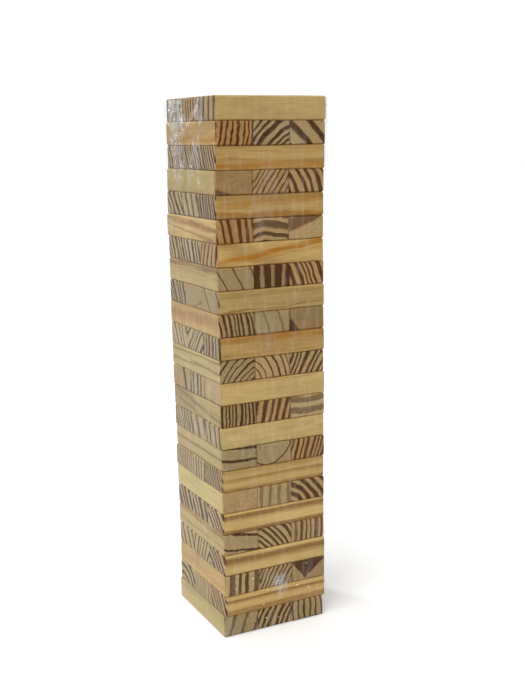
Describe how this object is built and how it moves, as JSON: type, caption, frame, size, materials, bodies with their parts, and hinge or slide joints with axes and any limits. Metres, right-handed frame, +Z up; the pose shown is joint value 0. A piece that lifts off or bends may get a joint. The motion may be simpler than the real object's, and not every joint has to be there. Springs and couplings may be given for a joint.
{
  "type": "giant tumbling tower",
  "caption": "Tall square tower of loose wooden blocks in crossed layers, wrapped in clear film; blocks pull out of the stack one at a time.",
  "frame": {"origin": "middle of the tower's foot, on the surface that it stands on", "axes": "+Z up the tower; the front faces -Y; blocks of the top layer lie along X and blocks of the lowest layer along Y"},
  "size_m": [0.1248, 0.1248, 0.5524],
  "materials": {
    "pine": "sanded, unvarnished softwood with strong growth rings",
    "clear_film": "clear thin shrink film with fine creases"
  },
  "bodies": {
    "foundation": {"layer_01_foundation_blocks": "pine", "layer_02_foundation_blocks": "pine", "layer_03_foundation_blocks": "pine", "layer_04_foundation_blocks": "pine", "layer_05_foundation_blocks": "pine", "layer_06_foundation_blocks": "pine", "layer_07_foundation_blocks": "pine"},
    "film": {"shrink_film": "clear_film"},
    "layer_08_front_block": {"layer_08_front_block": "pine"},
    "layer_08_centre_block": {"layer_08_centre_block": "pine"},
    "layer_08_back_block": {"layer_08_back_block": "pine"},
    "layer_09_left_block": {"layer_09_left_block": "pine"},
    "layer_09_centre_block": {"layer_09_centre_block": "pine"},
    "layer_09_right_block": {"layer_09_right_block": "pine"},
    "layer_10_front_block": {"layer_10_front_block": "pine"},
    "layer_10_centre_block": {"layer_10_centre_block": "pine"},
    "layer_10_back_block": {"layer_10_back_block": "pine"},
    "layer_11_left_block": {"layer_11_left_block": "pine"},
    "layer_11_centre_block": {"layer_11_centre_block": "pine"},
    "layer_11_right_block": {"layer_11_right_block": "pine"},
    "layer_12_front_block": {"layer_12_front_block": "pine"},
    "layer_12_centre_block": {"layer_12_centre_block": "pine"},
    "layer_12_back_block": {"layer_12_back_block": "pine"},
    "layer_13_left_block": {"layer_13_left_block": "pine"},
    "layer_13_centre_block": {"layer_13_centre_block": "pine"},
    "layer_13_right_block": {"layer_13_right_block": "pine"},
    "layer_14_front_block": {"layer_14_front_block": "pine"},
    "layer_14_centre_block": {"layer_14_centre_block": "pine"},
    "layer_14_back_block": {"layer_14_back_block": "pine"},
    "layer_15_left_block": {"layer_15_left_block": "pine"},
    "layer_15_centre_block": {"layer_15_centre_block": "pine"},
    "layer_15_right_block": {"layer_15_right_block": "pine"},
    "layer_16_front_block": {"layer_16_front_block": "pine"},
    "layer_16_centre_block": {"layer_16_centre_block": "pine"},
    "layer_16_back_block": {"layer_16_back_block": "pine"},
    "layer_17_left_block": {"layer_17_left_block": "pine"},
    "layer_17_centre_block": {"layer_17_centre_block": "pine"},
    "layer_17_right_block": {"layer_17_right_block": "pine"},
    "layer_18_front_block": {"layer_18_front_block": "pine"},
    "layer_18_centre_block": {"layer_18_centre_block": "pine"},
    "layer_18_back_block": {"layer_18_back_block": "pine"},
    "layer_19_left_block": {"layer_19_left_block": "pine"},
    "layer_19_centre_block": {"layer_19_centre_block": "pine"},
    "layer_19_right_block": {"layer_19_right_block": "pine"},
    "layer_20_front_block": {"layer_20_front_block": "pine"},
    "layer_20_centre_block": {"layer_20_centre_block": "pine"},
    "layer_20_back_block": {"layer_20_back_block": "pine"},
    "layer_21_left_block": {"layer_21_left_block": "pine"},
    "layer_21_centre_block": {"layer_21_centre_block": "pine"},
    "layer_21_right_block": {"layer_21_right_block": "pine"},
    "layer_22_front_block": {"layer_22_front_block": "pine"},
    "layer_22_centre_block": {"layer_22_centre_block": "pine"},
    "layer_22_back_block": {"layer_22_back_block": "pine"},
    "layer_23_left_block": {"layer_23_left_block": "pine"},
    "layer_23_centre_block": {"layer_23_centre_block": "pine"},
    "layer_23_right_block": {"layer_23_right_block": "pine"},
    "layer_24_front_block": {"layer_24_front_block": "pine"},
    "layer_24_centre_block": {"layer_24_centre_block": "pine"},
    "layer_24_back_block": {"layer_24_back_block": "pine"}
  },
  "joints": [
    {"name": "film_lift", "type": "slide", "parent": "foundation", "child": "film", "axis": [0, 0, 1], "range_m": [0, 0.58], "deforming": ["shrink_film"]},
    {"name": "layer_08_front_pull", "type": "slide", "parent": "foundation", "child": "layer_08_front_block", "axis": [1, -0.0052, 0], "range_m": [-0.125, 0.125]},
    {"name": "layer_08_centre_pull", "type": "slide", "parent": "foundation", "child": "layer_08_centre_block", "axis": [1, -0.0052, 0], "range_m": [-0.125, 0.125]},
    {"name": "layer_08_back_pull", "type": "slide", "parent": "foundation", "child": "layer_08_back_block", "axis": [1, -0.0052, 0], "range_m": [-0.125, 0.125]},
    {"name": "layer_09_left_pull", "type": "slide", "parent": "foundation", "child": "layer_09_left_block", "axis": [0.007, 1, 0], "range_m": [-0.125, 0.125]},
    {"name": "layer_09_centre_pull", "type": "slide", "parent": "foundation", "child": "layer_09_centre_block", "axis": [0.007, 1, 0], "range_m": [-0.125, 0.125]},
    {"name": "layer_09_right_pull", "type": "slide", "parent": "foundation", "child": "layer_09_right_block", "axis": [0.007, 1, 0], "range_m": [-0.125, 0.125]},
    {"name": "layer_10_front_pull", "type": "slide", "parent": "foundation", "child": "layer_10_front_block", "axis": [1, -0.0035, 0], "range_m": [-0.125, 0.125]},
    {"name": "layer_10_centre_pull", "type": "slide", "parent": "foundation", "child": "layer_10_centre_block", "axis": [1, -0.0035, 0], "range_m": [-0.125, 0.125]},
    {"name": "layer_10_back_pull", "type": "slide", "parent": "foundation", "child": "layer_10_back_block", "axis": [1, -0.0035, 0], "range_m": [-0.125, 0.125]},
    {"name": "layer_11_left_pull", "type": "slide", "parent": "foundation", "child": "layer_11_left_block", "axis": [-0.0035, 1, 0], "range_m": [-0.125, 0.125]},
    {"name": "layer_11_centre_pull", "type": "slide", "parent": "foundation", "child": "layer_11_centre_block", "axis": [-0.0035, 1, 0], "range_m": [-0.125, 0.125]},
    {"name": "layer_11_right_pull", "type": "slide", "parent": "foundation", "child": "layer_11_right_block", "axis": [-0.0035, 1, 0], "range_m": [-0.125, 0.125]},
    {"name": "layer_12_front_pull", "type": "slide", "parent": "foundation", "child": "layer_12_front_block", "axis": [1, 0.007, 0], "range_m": [-0.125, 0.125]},
    {"name": "layer_12_centre_pull", "type": "slide", "parent": "foundation", "child": "layer_12_centre_block", "axis": [1, 0.007, 0], "range_m": [-0.125, 0.125]},
    {"name": "layer_12_back_pull", "type": "slide", "parent": "foundation", "child": "layer_12_back_block", "axis": [1, 0.007, 0], "range_m": [-0.125, 0.125]},
    {"name": "layer_13_left_pull", "type": "slide", "parent": "foundation", "child": "layer_13_left_block", "axis": [-0.0052, 1, 0], "range_m": [-0.125, 0.125]},
    {"name": "layer_13_centre_pull", "type": "slide", "parent": "foundation", "child": "layer_13_centre_block", "axis": [-0.0052, 1, 0], "range_m": [-0.125, 0.125]},
    {"name": "layer_13_right_pull", "type": "slide", "parent": "foundation", "child": "layer_13_right_block", "axis": [-0.0052, 1, 0], "range_m": [-0.125, 0.125]},
    {"name": "layer_14_front_pull", "type": "slide", "parent": "foundation", "child": "layer_14_front_block", "axis": [1, 0.007, 0], "range_m": [-0.125, 0.125]},
    {"name": "layer_14_centre_pull", "type": "slide", "parent": "foundation", "child": "layer_14_centre_block", "axis": [1, 0.007, 0], "range_m": [-0.125, 0.125]},
    {"name": "layer_14_back_pull", "type": "slide", "parent": "foundation", "child": "layer_14_back_block", "axis": [1, 0.007, 0], "range_m": [-0.125, 0.125]},
    {"name": "layer_15_left_pull", "type": "slide", "parent": "foundation", "child": "layer_15_left_block", "axis": [-0.0087, 1, 0], "range_m": [-0.125, 0.125]},
    {"name": "layer_15_centre_pull", "type": "slide", "parent": "foundation", "child": "layer_15_centre_block", "axis": [-0.0087, 1, 0], "range_m": [-0.125, 0.125]},
    {"name": "layer_15_right_pull", "type": "slide", "parent": "foundation", "child": "layer_15_right_block", "axis": [-0.0087, 1, 0], "range_m": [-0.125, 0.125]},
    {"name": "layer_16_front_pull", "type": "slide", "parent": "foundation", "child": "layer_16_front_block", "axis": [1, 0.007, 0], "range_m": [-0.125, 0.125]},
    {"name": "layer_16_centre_pull", "type": "slide", "parent": "foundation", "child": "layer_16_centre_block", "axis": [1, 0.007, 0], "range_m": [-0.125, 0.125]},
    {"name": "layer_16_back_pull", "type": "slide", "parent": "foundation", "child": "layer_16_back_block", "axis": [1, 0.007, 0], "range_m": [-0.125, 0.125]},
    {"name": "layer_17_left_pull", "type": "slide", "parent": "foundation", "child": "layer_17_left_block", "axis": [-0.0087, 1, 0], "range_m": [-0.125, 0.125]},
    {"name": "layer_17_centre_pull", "type": "slide", "parent": "foundation", "child": "layer_17_centre_block", "axis": [-0.0087, 1, 0], "range_m": [-0.125, 0.125]},
    {"name": "layer_17_right_pull", "type": "slide", "parent": "foundation", "child": "layer_17_right_block", "axis": [-0.0087, 1, 0], "range_m": [-0.125, 0.125]},
    {"name": "layer_18_front_pull", "type": "slide", "parent": "foundation", "child": "layer_18_front_block", "axis": [1, 0.0052, 0], "range_m": [-0.125, 0.125]},
    {"name": "layer_18_centre_pull", "type": "slide", "parent": "foundation", "child": "layer_18_centre_block", "axis": [1, 0.0052, 0], "range_m": [-0.125, 0.125]},
    {"name": "layer_18_back_pull", "type": "slide", "parent": "foundation", "child": "layer_18_back_block", "axis": [1, 0.0052, 0], "range_m": [-0.125, 0.125]},
    {"name": "layer_19_left_pull", "type": "slide", "parent": "foundation", "child": "layer_19_left_block", "axis": [-0.0157, 0.9999, 0], "range_m": [-0.125, 0.125]},
    {"name": "layer_19_centre_pull", "type": "slide", "parent": "foundation", "child": "layer_19_centre_block", "axis": [-0.0157, 0.9999, 0], "range_m": [-0.125, 0.125]},
    {"name": "layer_19_right_pull", "type": "slide", "parent": "foundation", "child": "layer_19_right_block", "axis": [-0.0157, 0.9999, 0], "range_m": [-0.125, 0.125]},
    {"name": "layer_20_front_pull", "type": "slide", "parent": "foundation", "child": "layer_20_front_block", "axis": [1, 0, 0], "range_m": [-0.125, 0.125]},
    {"name": "layer_20_centre_pull", "type": "slide", "parent": "foundation", "child": "layer_20_centre_block", "axis": [1, 0, 0], "range_m": [-0.125, 0.125]},
    {"name": "layer_20_back_pull", "type": "slide", "parent": "foundation", "child": "layer_20_back_block", "axis": [1, 0, 0], "range_m": [-0.125, 0.125]},
    {"name": "layer_21_left_pull", "type": "slide", "parent": "foundation", "child": "layer_21_left_block", "axis": [-0.0017, 1, 0], "range_m": [-0.125, 0.125]},
    {"name": "layer_21_centre_pull", "type": "slide", "parent": "foundation", "child": "layer_21_centre_block", "axis": [-0.0017, 1, 0], "range_m": [-0.125, 0.125]},
    {"name": "layer_21_right_pull", "type": "slide", "parent": "foundation", "child": "layer_21_right_block", "axis": [-0.0017, 1, 0], "range_m": [-0.125, 0.125]},
    {"name": "layer_22_front_pull", "type": "slide", "parent": "foundation", "child": "layer_22_front_block", "axis": [1, -0.007, 0], "range_m": [-0.125, 0.125]},
    {"name": "layer_22_centre_pull", "type": "slide", "parent": "foundation", "child": "layer_22_centre_block", "axis": [1, -0.007, 0], "range_m": [-0.125, 0.125]},
    {"name": "layer_22_back_pull", "type": "slide", "parent": "foundation", "child": "layer_22_back_block", "axis": [1, -0.007, 0], "range_m": [-0.125, 0.125]},
    {"name": "layer_23_left_pull", "type": "slide", "parent": "foundation", "child": "layer_23_left_block", "axis": [-0.007, 1, 0], "range_m": [-0.125, 0.125]},
    {"name": "layer_23_centre_pull", "type": "slide", "parent": "foundation", "child": "layer_23_centre_block", "axis": [-0.007, 1, 0], "range_m": [-0.125, 0.125]},
    {"name": "layer_23_right_pull", "type": "slide", "parent": "foundation", "child": "layer_23_right_block", "axis": [-0.007, 1, 0], "range_m": [-0.125, 0.125]},
    {"name": "layer_24_front_pull", "type": "slide", "parent": "foundation", "child": "layer_24_front_block", "axis": [1, -0.0087, 0], "range_m": [-0.125, 0.125]},
    {"name": "layer_24_centre_pull", "type": "slide", "parent": "foundation", "child": "layer_24_centre_block", "axis": [1, -0.0087, 0], "range_m": [-0.125, 0.125]},
    {"name": "layer_24_back_pull", "type": "slide", "parent": "foundation", "child": "layer_24_back_block", "axis": [1, -0.0087, 0], "range_m": [-0.125, 0.125]}
  ]
}
